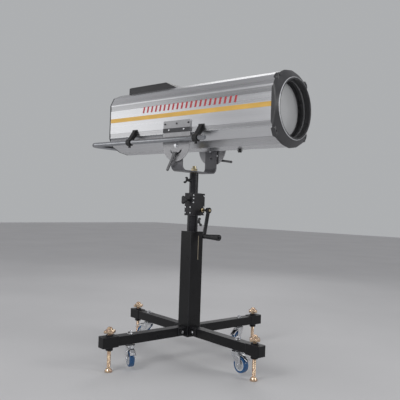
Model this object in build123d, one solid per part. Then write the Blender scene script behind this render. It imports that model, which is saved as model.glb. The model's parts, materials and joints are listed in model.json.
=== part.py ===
from build123d import *
import os
from math import cos, pi, radians, sin

# Follow spot on a wheeled wind-up stand. +X is where the lamp head points, +Z is up.
# The origin is on the floor, on the mast's axis. Sizes are in millimetres.

# ---- driving dimensions ----------------------------------------------------------------
STAND_YAW = -10.0        # the stand's front leg, turned about the mast from +X
LEG = 44.0               # square leg tube
LEG_WALL = 2.5
LEG_Z = 139.0            # height of a leg's centre line
LEG_END_R = 502.0        # from the mast to a leg tube's end
POST = 80.0              # square post
POST_WALL = 3.0
POST_TOP = 646.0
JACK_R = 471.0           # from the mast to a jack
JACK_ROD_R = 9.0
STAR_Z = 176.0           # underside of a jack's star handle
CASTER_R = 360.0         # from the mast to a caster's stem
CASTER_TRAIL = 28.0
WHEEL_R = 38.5
WHEEL_Z = 52.0
LOWER_TUBE_R = 27.5      # outer radius of the mast's lower tube
LOWER_TUBE_BORE = 23.6
LOWER_TUBE_BOTTOM = 190.0
UPPER_TUBE_R = 23.0
UPPER_TUBE_BOTTOM = 388.0
UPPER_TUBE_TOP = 946.0
HOUSING_BOTTOM = 727.0
HOUSING_TOP = 843.0
CRANK_Z = 756.0          # height of the crank shaft
CRANK_Y = 34.5           # its distance from the mast's axis
GEAR_TEETH = 14
GEAR_MODULE = 2.0
CRANK_LENGTH = 134.0
CRANK_LEAN = 10.4        # how far the hanging crank leans, degrees
YOKE_HALF = 135.0        # middle of a yoke arm, from the mast
YOKE_T = 6.0
YOKE_W = 76.0
YOKE_BASE_Z = 949.0      # underside of the yoke's base
PIVOT_Z = 1076.0         # tilt axis
HEAD_Z = 1229.0          # the lamp head's long axis
SHELL_BACK = -505.0
SHELL_FRONT = 556.0
HALF_W = 142.0           # half the shell's width
HALF_H = 173.0           # half its height
WALL = 3.0
SPLIT_Z = -92.0          # where the upper shell meets the lower one, from the head's axis
LIP_X = 591.0            # front edge of the front ring
LIP_R = 138.0
LENS_X = 529.0           # front face of the front lens
LENS_R = 125.0
BRACKET_Y = 144.5        # middle of a side bracket plate, from the head's axis
BRACKET_T = 4.0
SLOT_R = 44.0            # radius of the bracket's curved slot about the tilt axis
BAR_R = 12.5             # push handle tube
BAR_Y = 180.0
BAR_Z = -128.0
BAR_BACK = -622.0
BAR_FRONT = 208.0
CLAMP_X = (-303.0, 158.0)
RUNNING = 0.05           # radial clearance of a shaft in its bore
LOOSE = 0.4              # gap between pieces that pass each other

LEG_ANGLES = {"front": 0, "left": 90, "rear": 180, "right": 270}
CASTER_YAWS = {"front": 0, "left": 200, "rear": 30, "right": 70}

nodes = {}


# ---- small helpers ---------------------------------------------------------------------
def block(x0, x1, y0, y1, z0, z1):
    middle = Pos((x0 + x1) / 2, (y0 + y1) / 2, (z0 + z1) / 2)
    return middle * Box(x1 - x0, y1 - y0, z1 - z0)


TURN = {"X": Rot(0, 90, 0), "Y": Rot(-90, 0, 0), "Z": Rot(0, 0, 0)}
FROM_START = (Align.CENTER, Align.CENTER, Align.MIN)


def rod(radius, length, start, axis="Z"):
    return Pos(*start) * TURN[axis] * Cylinder(radius, length, align=FROM_START)


def tube(outer, inner, length, start, axis="Z"):
    return Pos(*start) * TURN[axis] * (
        Cylinder(outer, length, align=FROM_START) - Cylinder(inner, length, align=FROM_START))


def cone(radius0, radius1, length, start, axis="Z"):
    return Pos(*start) * TURN[axis] * Cone(radius0, radius1, length, align=FROM_START)


def hexagon(radius, length, start, axis="Z"):
    face = RegularPolygon(radius, 6)
    return Pos(*start) * TURN[axis] * extrude(face, length)


def square_tube(size, wall, x0, x1):
    outside = block(x0, x1, -size / 2, size / 2, -size / 2, size / 2)
    inside = size / 2 - wall
    return outside - block(x0, x1, -inside, inside, -inside, inside)


def group(*solids):
    flat = []
    for shape in solids:
        flat.extend(shape.solids())
    return Compound(flat)


def about_mast(angle, shape):
    return Rot(0, 0, STAND_YAW + angle) * shape


def star_knob(lobes, lobe_r, reach, thickness):
    """A lobed hand knob standing on z = 0."""
    knob = Cylinder(reach * 0.62, thickness, align=FROM_START)
    for i in range(lobes):
        turn = 2 * pi * i / lobes
        knob += rod(lobe_r, thickness, (reach * cos(turn), reach * sin(turn), 0))
    return knob


def wing_knob(span, thickness):
    """A wing screw's head: a hub and two upright wings, standing on z = 0."""
    knob = Cylinder(7, 14, align=FROM_START)
    for side in (-1, 1):
        wing = Pos(side * span / 2, 0, 16) * Rot(90, 0, 0) * Cylinder(10, thickness)
        knob += wing + Pos(side * span / 4, 0, 11) * Box(span / 2, thickness, 12)
    return knob


# ---- stand -----------------------------------------------------------------------------
def make_post():
    top = POST_TOP - 165
    inner = POST - 2 * POST_WALL
    tube_part = Pos(0, 0, 165 + top / 2) * (Box(POST, POST, top) - Box(inner, inner, top))
    hub = block(-POST / 2, POST / 2, -POST / 2, POST / 2, 110, 166)
    cap = block(-POST / 2, POST / 2, -POST / 2, POST / 2, POST_TOP - 5, POST_TOP)
    post = tube_part + hub + cap - rod(LOWER_TUBE_R + LOOSE, 20, (0, 0, POST_TOP - 10))
    guide = tube(36, LOWER_TUBE_R + LOOSE, 12, (0, 0, POST_TOP - 17)) & block(
        -37, 37, -37, 37, 0, POST_TOP)
    post += guide
    stub = LEG / 2 - LEG_WALL - 0.4
    for angle in (0, 90, 180, 270):
        socket = block(38, 96, -stub, stub, LEG_Z - stub, LEG_Z + stub)
        for side in (-1, 1):
            near, far = sorted((side * (LEG / 2 + 0.3), side * (LEG / 2 + 4.3)))
            socket += block(38, 88, near, far, LEG_Z - 20, LEG_Z + 18)
        socket -= rod(4.2, 80, (66, -40, LEG_Z), "Y")
        post += Rot(0, 0, angle) * socket
    post -= block(POST / 2 - 5, POST / 2 + 1, 9, 14, 500, POST_TOP - 22)
    return Rot(0, 0, STAND_YAW) * post


def make_leg(angle):
    leg = Pos(0, 0, LEG_Z) * square_tube(LEG, LEG_WALL, POST / 2 + 0.2, LEG_END_R)
    leg -= rod(4.2, 80, (66, -40, LEG_Z), "Y")
    leg -= rod(6.3, 70, (CASTER_R, 0, LEG_Z - 35))
    leg -= rod(12, 70, (JACK_R, 0, LEG_Z - 35))
    return about_mast(angle, leg)


def make_end_block():
    """The cast sleeve on a leg's end, with the jack's nut in it."""
    outside = Pos(JACK_R + 4, 0, LEG_Z) * Box(84, LEG + 6, LEG + 6)
    outside = fillet(outside.edges().filter_by(Axis.Z), 6)
    pocket = LEG / 2 + 0.1
    outside -= block(0, LEG_END_R + 0.2, -pocket, pocket, LEG_Z - pocket, LEG_Z + pocket)
    for z in (LEG_Z - LEG / 2 - 18, LEG_Z + LEG / 2):
        outside += rod(17, 18 if z < LEG_Z else 9, (JACK_R, 0, z))
    return outside - rod(JACK_ROD_R + LOOSE, 120, (JACK_R, 0, LEG_Z - 60))


def make_leg_fasteners():
    pieces = []
    for angle in LEG_ANGLES.values():
        bolt = rod(4, 72, (66, -36, LEG_Z), "Y")
        bolt += hexagon(8, 5.5, (66, -LEG / 2 - 10, LEG_Z), "Y")
        bolt += hexagon(8, 6.5, (66, LEG / 2 + 4.4, LEG_Z), "Y")
        bolt &= block(50, 80, -36, 33, 0, 300)
        nut = hexagon(11, 9, (CASTER_R, 0, LEG_Z + LEG / 2 + 2)) + rod(
            13, 2, (CASTER_R, 0, LEG_Z + LEG / 2))
        nut -= rod(6.1, 20, (CASTER_R, 0, LEG_Z + LEG / 2))
        pieces += [about_mast(angle, bolt), about_mast(angle, nut)]
    return group(*pieces)


# ---- jacks -----------------------------------------------------------------------------
def make_jack_foot(angle):
    foot = Cylinder(18, 7, align=FROM_START) + cone(15, 11, 9, (0, 0, 7))
    foot = foot - Pos(0, 0, 10) * Sphere(7.3) - rod(7.3, 10, (0, 0, 10))
    return about_mast(angle, Pos(JACK_R, 0, 0) * foot)


def make_jack_screw(angle):
    screw = rod(JACK_ROD_R, 186, (0, 0, 20)) + Pos(0, 0, 10) * Sphere(7)
    screw += rod(5.5, 12, (0, 0, 10))
    head = Pos(0, 0, STAR_Z) * star_knob(4, 9.5, 21, 17)
    head += cone(13, 11, 9, (0, 0, STAR_Z + 17)) + rod(13, 6, (0, 0, STAR_Z - 0.5))
    return about_mast(angle, Pos(JACK_R, 0, 0) * (screw + head))


# ---- casters ---------------------------------------------------------------------------
def place_caster(name, shape):
    return about_mast(LEG_ANGLES[name], Pos(CASTER_R, 0, 0) * Rot(0, 0, CASTER_YAWS[name]) * shape)


def make_fork():
    top = rod(23, 6, (0, 0, 101)) + rod(26, 5, (0, 0, 106)) + rod(6, 68, (0, 0, 108))
    top += hexagon(11, LEG_Z - LEG / 2 - 111, (0, 0, 111))
    outline = Polyline((-20, 103), (26, 103), (40, 84), (41, 46), (15, 46), (-20, 88), (-20, 103))
    cheek = extrude(Plane.XZ * make_face(outline), 1.5, both=True)
    fork = top + block(-18, 22, -18, 18, 100, 103)
    for side in (-1, 1):
        fork += Pos(0, side * 17, 0) * cheek
    fork += rod(4, 44, (CASTER_TRAIL, -22, WHEEL_Z), "Y") + rod(1.6, 36, (20, -18, 95.5), "Y")
    for side in (-1, 1):
        fork += hexagon(7.5, 4, (CASTER_TRAIL, side * 20.5 - 2, WHEEL_Z), "Y")
    return fork


def make_wheel():
    hub = rod(28, 22, (CASTER_TRAIL, -11, WHEEL_Z), "Y")
    hub += rod(11, 28, (CASTER_TRAIL, -14, WHEEL_Z), "Y")
    hub -= rod(4 + RUNNING, 40, (CASTER_TRAIL, -20, WHEEL_Z), "Y")
    tyre = Pos(CASTER_TRAIL, 0, WHEEL_Z) * TURN["Y"] * (
        fillet(Cylinder(WHEEL_R, 26).edges(), 5) - Cylinder(28, 30))
    return group(hub, tyre)


def make_brake():
    """The brake pedal above the tyre, hinged in the fork's cheeks."""
    outline = make_face(Polyline(
        (20, 93.5), (40, 92.5), (54, 90), (76, 79), (78, 82), (56, 93), (40, 96), (20, 97.5), (20, 93.5)))
    pedal = extrude(Plane.XZ * outline, 14, both=True) + rod(3.2, 28, (20, -14, 95.5), "Y")
    return pedal - rod(1.6 + RUNNING, 40, (20, -20, 95.5), "Y")


# ---- mast ------------------------------------------------------------------------------
def make_lower_tube():
    length = HOUSING_BOTTOM + 12 - LOWER_TUBE_BOTTOM
    mast = tube(LOWER_TUBE_R, LOWER_TUBE_BORE, length, (0, 0, LOWER_TUBE_BOTTOM))
    boss = rod(9, 10, (0, LOWER_TUBE_R - 3, 694), "Y") - rod(LOWER_TUBE_BORE, 60, (0, 0, 670))
    mast = mast + boss - rod(4.05, 40, (0, LOWER_TUBE_BORE - 6, 694), "Y")
    return Rot(0, 0, STAND_YAW) * mast


def make_housing():
    main = block(-30, 30, -33, 31, HOUSING_BOTTOM, HOUSING_TOP)
    gear_side = block(-26, 26, 20, 58, HOUSING_BOTTOM + 2, HOUSING_TOP - 1)
    body = fillet(main.edges().filter_by(Axis.Z), 3)
    body += fillet(gear_side.edges().filter_by(Axis.Z), 3)
    body -= rod(LOWER_TUBE_BORE, 200, (0, 0, 700))
    body -= rod(LOWER_TUBE_R + 0.1, 40, (0, 0, HOUSING_BOTTOM - 28))
    body -= rod(18, 16, (-8, CRANK_Y, CRANK_Z), "X")
    body -= rod(6 + RUNNING, 80, (-40, CRANK_Y, CRANK_Z), "X")
    body -= rod(4 + RUNNING, 30, (0, -50, 806), "Y")
    for x, y, z in FRONT_SCREWS:
        body -= rod(2, 6, (x - 5.5, y, z), "X")
    for x, z in SIDE_SCREWS:
        body -= rod(2, 6, (x, -33.5, z), "Y")
    return Rot(0, 0, STAND_YAW) * body


# where the housing's screws stand: on its front faces, and on its side away from the crank
FRONT_SCREWS = [(30, -24, z) for z in (795, 815, 832)] + [(26, 51, z) for z in (737, 771, 829)]
SIDE_SCREWS = [(x, z) for x in (-20, 20) for z in (741, 770)]


def make_housing_screws():
    screws = []
    for x, y, z in FRONT_SCREWS:
        screws.append(rod(1.9, 6, (x - 5, y, z), "X") + rod(4, 2.4, (x, y, z), "X"))
    for x, z in SIDE_SCREWS:
        screws.append(rod(1.9, 6, (x, -34, z), "Y") + rod(4, 2.4, (x, -35.4, z), "Y"))
    return Rot(0, 0, STAND_YAW) * group(*screws)


def make_upper_tube():
    length = UPPER_TUBE_TOP - UPPER_TUBE_BOTTOM
    mast = tube(UPPER_TUBE_R, 20, length, (0, 0, UPPER_TUBE_BOTTOM))
    mast += tube(20, 10 + RUNNING, 60, (0, 0, UPPER_TUBE_TOP - 60))
    mast -= block(-6, 6, 12, 30, UPPER_TUBE_BOTTOM - 1, 815)
    boss = rod(9, 12, (0, -UPPER_TUBE_R - 9, 908), "Y")
    mast = mast + boss - rod(4 + RUNNING, 30, (0, -40, 908), "Y")
    pitch = pi * GEAR_MODULE
    gap = 0.9                                  # half a rack tooth's width at the pitch line
    outline = [(12, UPPER_TUBE_BOTTOM), (17.8, UPPER_TUBE_BOTTOM)]
    first = int((UPPER_TUBE_BOTTOM + pitch - CRANK_Z) / pitch)
    last = int((814 - CRANK_Z) / pitch)
    for i in range(first, last):
        z = CRANK_Z + (i + 0.5) * pitch
        root, tip = gap + 0.75, gap - 0.75
        outline += [(17.8, z - root), (22.3, z - tip), (22.3, z + tip), (17.8, z + root)]
    outline += [(17.8, 814), (12, 814), (12, UPPER_TUBE_BOTTOM)]
    rack = extrude(Plane.YZ * make_face(Polyline(*outline)), 5.5, both=True)
    return Rot(0, 0, STAND_YAW) * group(mast, rack)


def make_crank_shaft():
    shaft = rod(6, 131, (-36, CRANK_Y, CRANK_Z), "X")
    pitch_r = GEAR_TEETH * GEAR_MODULE / 2
    gear = rod(pitch_r - 2.4, 10, (-5, CRANK_Y, CRANK_Z), "X")
    tooth = Polyline((pitch_r - 3, -1.9), (pitch_r, -1.25), (pitch_r + 1.6, -0.6),
                     (pitch_r + 1.6, 0.6), (pitch_r, 1.25), (pitch_r - 3, 1.9), (pitch_r - 3, -1.9))
    tooth = extrude(Plane.YZ * make_face(tooth), 5, both=True)
    for i in range(GEAR_TEETH):
        gear += Pos(0, CRANK_Y, CRANK_Z) * Rot(180 + 360 * i / GEAR_TEETH, 0, 0) * tooth
    collar = rod(10, 8, (-38, CRANK_Y, CRANK_Z), "X") + rod(10, 6, (31, CRANK_Y, CRANK_Z), "X")
    return Rot(0, 0, STAND_YAW) * (shaft + gear + collar)


def crank_place(shape):
    """From the hanging crank's own frame, with the shaft's axis along X at its origin."""
    return Rot(0, 0, STAND_YAW) * Pos(0, CRANK_Y, CRANK_Z) * Rot(-CRANK_LEAN, 0, 0) * shape


def make_crank_arm():
    arm = block(80, 86, -10, 10, -CRANK_LENGTH, 0) + rod(13, 6, (80, 0, 0), "X")
    arm += rod(12, 6, (80, 0, -CRANK_LENGTH), "X") + rod(15, 14, (76, 0, 0), "X")
    arm -= rod(6 + RUNNING, 40, (70, 0, 0), "X")
    arm += rod(4, 120, (82, 0, -CRANK_LENGTH), "X") + rod(7, 4, (200.6, 0, -CRANK_LENGTH), "X")
    return crank_place(arm)


def make_crank_grip():
    profile = make_face(Polyline(
        (87, 4 + RUNNING), (87, 9), (92, 11), (130, 12), (180, 15.5), (194, 16), (200, 12),
        (200, 4 + RUNNING), (87, 4 + RUNNING)))
    grip = revolve(Plane.XZ * profile, Axis.X)
    return crank_place(Pos(0, 0, -CRANK_LENGTH) * grip)


def make_housing_knob():
    knob = rod(4, 38, (0, -62, 806), "Y") + rod(8, 8, (0, -52, 806), "Y")
    knob += Pos(0, -52, 806) * Rot(90, 0, 0) * star_knob(3, 8, 16, 15)
    return Rot(0, 0, STAND_YAW) * knob


def make_upper_wing_screw():
    screw = rod(4, 34, (0, -46, 908), "Y")
    screw += Pos(0, -38, 908) * Rot(90, 0, 0) * Rot(0, 0, 60) * wing_knob(26, 5)
    return Rot(0, 0, STAND_YAW) * screw


def make_post_wing_knob():
    screw = rod(4, 26, (0, 24.5, 694), "Y")
    screw += Pos(0, 36, 694) * Rot(-90, 0, 0) * Rot(0, 0, 70) * wing_knob(34, 6)
    return Rot(0, 0, STAND_YAW) * screw


# ---- yoke ------------------------------------------------------------------------------
def make_yoke():
    low, high = YOKE_BASE_Z, YOKE_BASE_Z + YOKE_T
    outer, bend = YOKE_HALF + YOKE_T / 2, 30.0
    top = PIVOT_Z + 24
    path = FilletPolyline((0, -YOKE_HALF, top), (0, -YOKE_HALF, low + YOKE_T / 2),
                          (0, YOKE_HALF, low + YOKE_T / 2), (0, YOKE_HALF, top), radius=bend)
    section = Plane(origin=(0, -YOKE_HALF, top), z_dir=(0, 0, -1)) * Rectangle(YOKE_W, YOKE_T)
    yoke = sweep(section, path)
    corners = yoke.edges().filter_by(Axis.Y).group_by(Axis.Z)[-1]
    yoke = fillet(corners, 30)
    yoke -= rod(10 + RUNNING, 30, (0, 0, low - 10))
    for z, r in ((PIVOT_Z, 6.1), (PIVOT_Z - SLOT_R, 4 + RUNNING)):
        yoke -= rod(r, 2 * outer + 20, (0, -outer - 10, z), "Y")
    return yoke


def make_yoke_bolts():
    low = YOKE_BASE_Z
    pan = rod(10, 96, (0, 0, low - 62)) + rod(19, 2, (0, 0, low + YOKE_T))
    pan += hexagon(17, 14, (0, 0, low + YOKE_T + 2)) + rod(16, 2.6, (0, 0, low - 2.8))
    bolts = [pan]
    for side in (-1, 1):
        inner, length = (YOKE_HALF + 12) * side, 24
        bolt = rod(6, length, (0, min(inner, inner - side * length), PIVOT_Z), "Y")
        head = BRACKET_Y + BRACKET_T / 2 + 0.3
        bolt += hexagon(10, 6.5, (0, head if side > 0 else -head - 6.5, PIVOT_Z), "Y")
        nut = YOKE_HALF - YOKE_T / 2
        bolt += hexagon(10, 8, (0, nut - 8 if side > 0 else -nut, PIVOT_Z), "Y")
        bolts.append(bolt)
    return group(*bolts)


def make_tilt_lever(side, lean, reach):
    """A clamp lever whose stud goes through the bracket's curved slot into the yoke."""
    face = BRACKET_Y + BRACKET_T / 2 + 0.3
    lever = rod(4, 30, (0, 0, face - 22)) + rod(9, 3, (0, 0, face)) + rod(11, 12, (0, 0, face + 3))
    bar = Box(reach, 12, 8)
    bar = fillet(bar.edges().filter_by(Axis.Z), 5)
    lever += Pos(reach / 2, 0, face + 11) * bar + Pos(reach, 0, face + 11) * Sphere(7)
    facing = Rot(90, 0, 0) if side < 0 else Rot(-90, 0, 0)
    return Pos(0, 0, PIVOT_Z - SLOT_R) * Rot(0, lean, 0) * facing * lever


# ---- lamp head, drawn about its own axis and lifted to HEAD_Z ---------------------------
def shell_face(shrink):
    """The extruded section: tall, flat-sided, with two-step corners and a crowned top."""
    quarter = [(HALF_W, 0), (HALF_W, 92), (119, 136), (60, 163), (0, HALF_H)]
    left = [(-y, z) for y, z in reversed(quarter)][1:]
    upper = quarter + left
    lower = [(y, -z) for y, z in reversed(upper)][1:-1]
    face = make_face(Polyline(*upper, *lower, quarter[0]))
    face = fillet([v for v in face.vertices() if 50 < abs(v.Y) < 170], 9)
    if shrink:
        face = offset(face, -shrink, kind=Kind.INTERSECTION)
    return face


def shell_solid(x0, x1, shrink=0.0):
    return Pos(x0, 0, 0) * extrude(Plane.YZ * shell_face(shrink), x1 - x0)


def side_grooves(x0, x1):
    """Shallow bands along the extrusion: one near each corner, on both sides."""
    cut = None
    for side in (-1, 1):
        for z0, z1 in ((58, 84), (-88, -68)):
            y = sorted((side * (HALF_W - 1.2), side * (HALF_W + 2)))
            band = block(x0, x1, y[0], y[1], z0, z1)
            cut = band if cut is None else cut + band
    return cut


def make_shell(upper):
    skin = shell_solid(SHELL_BACK, SHELL_FRONT) - shell_solid(SHELL_BACK - 1, SHELL_FRONT + 1, WALL)
    skin -= side_grooves(SHELL_BACK - 1, SHELL_FRONT + 1)
    if upper:
        part = skin & block(-700, 700, -200, 200, SPLIT_Z + 0.1, 200)
        part -= block(-262, -178, -4, 4, 150, 200)
    else:
        part = skin & block(-700, 700, -200, 200, -200, SPLIT_Z)
        for side in (-1, 1):
            y = sorted((side * (HALF_W - WALL - 0.8), side * (HALF_W - WALL - 3.8)))
            part += block(SHELL_BACK + 18, SHELL_FRONT - 20, y[0], y[1], SPLIT_Z - 6, SPLIT_Z + 14)
        part -= block(240, 334, -4, 4, -200, -150)
    for side in (-1, 1):
        for x, z in bracket_screw_places():
            part -= rod(2.1, 12, (x, side * HALF_W - 6, z), "Y")
    return part


def bracket_screw_places():
    return [(-78, -44), (0, -44), (78, -44), (-50, -75), (50, -75)]


def ring_screw_places():
    return [(side * y, z) for y, z in ((117, 131), (127, -115)) for side in (-1, 1)]


def make_front_ring():
    """The moulded bezel: a skirt over the shell's end, tapering to the round lip."""
    skirt = shell_solid(548, SHELL_FRONT, -4.5) - shell_solid(540, 560, -0.3)
    big = Plane((SHELL_FRONT, 0, 0), x_dir=(0, 1, 0), z_dir=(1, 0, 0))
    lip = Plane((LIP_X, 0, 0), x_dir=(0, 1, 0), z_dir=(1, 0, 0))
    ring = skirt + loft([big * shell_face(-4.5), lip * Circle(LIP_R + 3)])
    for y, z in ring_screw_places():
        ear = rod(17, 32, (540, y, z), "X")
        ring += ear & (shell_solid(540, 572, -5.8) - shell_solid(539, SHELL_FRONT, -0.3))
    for y, z in ring_screw_places():
        ring -= rod(2.1, 40, (540, y, z), "X") + rod(5, 40, (571, y, z), "X")
    ring -= shell_solid(500, SHELL_FRONT + 0.1, -0.3)
    return ring - rod(LIP_R - 3, 80, (530, 0, 0), "X")


def make_head_screws():
    screws = []
    for y, z in ring_screw_places():
        screws.append(rod(1.9, 18, (557, y, z), "X") + rod(4.2, 3, (571, y, z), "X"))
    for side in (-1, 1):
        for x, z in bracket_screw_places():
            face = side * (BRACKET_Y + BRACKET_T / 2)
            head = rod(4.5, 2.5, (x, min(face, face + side * 2.5), z), "Y")
            shank = rod(1.9, 8, (x, min(face, face - side * 8), z), "Y")
            screws.append(head + shank)
    return group(*screws)


def make_lens_barrel():
    """Black inner barrel with a step half-way and the seat of the front lens."""
    barrel = tube(LIP_R - 3.3, LIP_R - 7, LIP_X - 3 - 452, (452, 0, 0), "X")
    barrel += tube(LIP_R - 4, LENS_R - 3, 4, (LENS_X + 0.2, 0, 0), "X")
    barrel += tube(LIP_R - 5, LIP_R - 10, 5, (LENS_X + 28, 0, 0), "X")
    return barrel


def make_front_lens():
    back_x, rim = LENS_X - 10, LIP_R - 7.4
    lens = rod(LENS_R, 20, (LENS_X - 20, 0, 0), "X")
    lens = fillet(lens.edges().filter_by(GeomType.CIRCLE).group_by(Axis.X)[0], 9)
    lens += rod(rim, 6, (back_x, 0, 0), "X")
    return lens


def make_bracket(side):
    """A side plate: straight top, half-round bottom, with the pivot hole and curved slot."""
    pivot = PIVOT_Z - HEAD_Z
    middle, radius = pivot + 10, 91.0
    plate = Pos(0, 0, (middle - 28) / 2) * Box(2 * radius, BRACKET_T, -28 - middle)
    plate = fillet(plate.edges().filter_by(Axis.Y).group_by(Axis.Z)[-1], 8)
    plate += rod(radius, BRACKET_T, (0, -BRACKET_T / 2, middle), "Y")
    plate += block(-radius, radius, -1, BRACKET_T / 2 + 1.5, -88, -66)
    arc = CenterArc((0, pivot), SLOT_R, 270 - 52, 104)
    slot = extrude(Plane.XZ * SlotArc(arc, 9), 10, both=True)
    plate -= slot + rod(6.1, 20, (0, -10, pivot), "Y")
    plate -= block(-200, 200, -10, -BRACKET_T / 2, -300, 0)
    for x, z in bracket_screw_places():
        plate -= rod(2.1, 20, (x, -10, z), "Y")
        if z < -60:
            plate -= rod(4.8, 4, (x, BRACKET_T / 2, z), "Y")
    return Pos(0, side * BRACKET_Y, 0) * (plate if side > 0 else Rot(0, 0, 180) * plate)


def make_handle_bar():
    path = FilletPolyline((BAR_FRONT, -BAR_Y, BAR_Z), (BAR_BACK, -BAR_Y, BAR_Z),
                          (BAR_BACK, BAR_Y, BAR_Z), (BAR_FRONT, BAR_Y, BAR_Z), radius=46)
    start = Plane(origin=(BAR_FRONT, -BAR_Y, BAR_Z), z_dir=(-1, 0, 0))
    bar = sweep(start * Circle(BAR_R), path) - sweep(start * Circle(BAR_R - 2), path)
    for side in (-1, 1):
        bar += rod(BAR_R, 8, (BAR_FRONT - 8, side * BAR_Y, BAR_Z), "X")
        bar += cone(BAR_R, 9, 5, (BAR_FRONT, side * BAR_Y, BAR_Z), "X")
    return bar


def make_bar_clamps():
    clamps = []
    for x in CLAMP_X:
        clamp = tube(BAR_R + 6, BAR_R + 0.3, 26, (x - 13, BAR_Y, BAR_Z), "X")
        foot = make_face(Polyline((HALF_W + 0.2, -60), (HALF_W + 7, -60), (BAR_Y + 8, BAR_Z + 12),
                                  (BAR_Y, BAR_Z + 16), (BAR_Y - 14, BAR_Z + 8), (HALF_W + 0.2, -91),
                                  (HALF_W + 0.2, -60)))
        foot = Pos(x, 0, 0) * extrude(Plane.YZ * foot, 11, both=True)
        foot += block(x - 17, x + 17, HALF_W + 0.2, HALF_W + 4.2, -91, -57)
        clamp += foot - rod(BAR_R + 1, 60, (x - 30, BAR_Y, BAR_Z), "X")
        clamp += hexagon(7, 12, (x, BAR_Y, BAR_Z - BAR_R - 16))
        clamp -= rod(BAR_R + 0.3, 60, (x - 30, BAR_Y, BAR_Z), "X")
        clamps += [clamp, mirror(clamp, Plane.XZ)]
    return group(*clamps)


def make_top_hood():
    outline = make_face(Polyline((-452, 140), (-452, 196), (-446, 202), (-176, 202), (-96, 166),
                                 (-96, 140), (-452, 140)))
    hood = extrude(Plane.XZ * outline, 58, both=True)
    hood = fillet(hood.edges().filter_by(Axis.X).group_by(Axis.Z)[-1], 10)
    hollow = block(-446, -186, -52, 52, 140, 197)
    hood = hood - hollow - shell_solid(-600, 600, -0.2)
    hood -= block(-265, -176, -8, 8, 190, 210)
    for i in range(9):
        hood -= block(-430 + 14 * i, -424 + 14 * i, -40, 40, 190, 210)
    return hood


def make_iris_lever():
    lever = block(-223, -217, -3, 3, 100, 206) + Pos(-220, 0, 210) * Sphere(7)
    return lever + tube(12, 4, 6, (-220, -3, 96), "Y")


def make_lens_carriage():
    ring = tube(112, 88, 12, (281, 0, 0), "X") + block(283, 291, -6, 6, -150, -100)
    lens = rod(88, 8, (283, 0, 0), "X")
    return group(ring, lens)


def make_focus_knob():
    knob = rod(3.5, 34, (287, 0, -184)) + rod(13, 3, (287, 0, -178.6))
    return knob + rod(9, 7, (287, 0, -185.5))


def make_rear_cap():
    cap = shell_solid(SHELL_BACK - 8, SHELL_BACK - 0.2)
    cap += shell_solid(SHELL_BACK - 1, SHELL_BACK + 14, WALL + 0.3) - shell_solid(
        SHELL_BACK - 0.5, SHELL_BACK + 15, WALL + 3.3)
    for i in range(-4, 5):
        cap -= block(SHELL_BACK - 9, SHELL_BACK + 2, i * 16 - 4, i * 16 + 4, -60, 60)
    cap -= block(SHELL_BACK - 9, SHELL_BACK + 2, -96.3, -67.7, -116.3, -92.7)
    return cap - block(SHELL_BACK - 9, SHELL_BACK + 2, 68.7, 91.3, -113.4, -92.6)


def make_power_inlet():
    inlet = block(SHELL_BACK - 10, SHELL_BACK + 26, -96, -68, -116, -93)
    inlet -= block(SHELL_BACK - 11, SHELL_BACK + 14, -93, -71, -113, -96)
    for y in (-88, -82, -76):
        inlet += block(SHELL_BACK - 6, SHELL_BACK + 15, y - 1, y + 1, -107, -101)
    return inlet


def make_power_switch():
    x = SHELL_BACK - 8
    outline = make_face(Polyline((x, -112), (x + 10, -112), (x + 10, -94), (x - 4, -94), (x, -112)))
    return Pos(0, 80, 0) * extrude(Plane.XZ * outline, 11, both=True)


def make_led_engine():
    """Heat sink with its fins and the round LED array, on a plate across the shell."""
    engine = block(-386, -376, -120, 120, -112, 112) + block(-376, -372, -40, 40, -40, 40)
    for i in range(-9, 10):
        engine += block(-440, -386, i * 13 - 1.5, i * 13 + 1.5, -105, 105)
    engine += tube(70, 66, 60, (-376, 0, 0), "X")
    for side in (-1, 1):
        y = sorted((side * 118, side * (HALF_W - WALL - 0.3)))
        engine += block(-386, -376, y[0], y[1], -60, 60)
    return engine


def make_fan_rotor():
    rotor = rod(22, 24, (-482, 0, 0), "X")
    for i in range(7):
        blade = Pos(-470, 0, 42) * Rot(0, 0, 35) * Box(2.5, 26, 50)
        rotor += Rot(360 * i / 7, 0, 0) * blade
    return rotor


# ---- build every node ------------------------------------------------------------------
def lift(shape):
    return Pos(0, 0, HEAD_Z) * shape


nodes["post"] = make_post()
nodes["leg_end_blocks"] = group(*[about_mast(a, make_end_block()) for a in LEG_ANGLES.values()])
nodes["leg_fasteners"] = make_leg_fasteners()
for place, leg_angle in LEG_ANGLES.items():
    nodes["leg_" + place] = make_leg(leg_angle)
    nodes["jack_foot_" + place] = make_jack_foot(leg_angle)
    nodes["jack_screw_" + place] = make_jack_screw(leg_angle)
    nodes["caster_fork_" + place] = place_caster(place, make_fork())
    nodes["caster_wheel_" + place] = place_caster(place, make_wheel())
    nodes["caster_brake_" + place] = place_caster(place, make_brake())

nodes["mast_lower_tube"] = make_lower_tube()
nodes["winch_housing"] = make_housing()
nodes["winch_screws"] = make_housing_screws()
nodes["mast_upper_tube"] = make_upper_tube()
nodes["crank_shaft"] = make_crank_shaft()
nodes["crank_arm"] = make_crank_arm()
nodes["crank_grip"] = make_crank_grip()
nodes["housing_knob"] = make_housing_knob()
nodes["upper_wing_screw"] = make_upper_wing_screw()
nodes["post_wing_knob"] = make_post_wing_knob()

nodes["yoke"] = make_yoke()
nodes["yoke_bolts"] = make_yoke_bolts()
nodes["tilt_lever_right"] = make_tilt_lever(-1, 118, 88)
nodes["tilt_lever_left"] = make_tilt_lever(1, 8, 120)

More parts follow.
